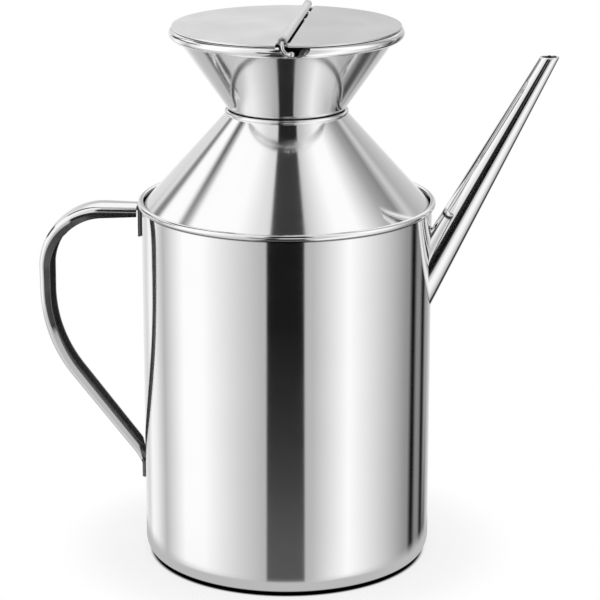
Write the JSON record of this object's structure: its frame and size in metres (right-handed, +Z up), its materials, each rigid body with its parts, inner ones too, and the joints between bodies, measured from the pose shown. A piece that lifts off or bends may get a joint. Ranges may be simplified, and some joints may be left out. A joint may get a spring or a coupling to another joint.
{
  "type": "oil can",
  "caption": "Stainless steel oil can with a conical shoulder, a funnel mouth under a half-hinged lid, a slim tapered spout and a strip handle.",
  "frame": {"origin": "middle of the flat underside, on the can's own axis", "axes": "+Z up along the can's axis, +X towards the spout, -X towards the handle, Y along the lid's hinge"},
  "size_m": [0.1789, 0.1024, 0.1891],
  "materials": {
    "body_steel": "mirror-polished stainless steel",
    "shoulder_steel": "mirror-polished stainless steel",
    "funnel_steel": "mirror-polished stainless steel",
    "spout_steel": "polished stainless steel",
    "handle_steel": "polished stainless steel",
    "lid_steel": "satin stainless steel",
    "pin_steel": "polished steel wire"
  },
  "bodies": {
    "can": {"body_cup": "body_steel", "shoulder_cone": "shoulder_steel", "funnel_mouth": "funnel_steel", "pouring_spout": "spout_steel", "handle_strip": "handle_steel", "lid_fixed_half": "lid_steel", "hinge_pin": "pin_steel"},
    "flap": {"lid_flap": "lid_steel"}
  },
  "joints": [
    {"name": "flap_hinge", "type": "hinge", "parent": "can", "child": "flap", "pos_m": [0.003, 0, 0.18765], "axis": [0, 1, 0], "range_deg": [0, 180]}
  ]
}
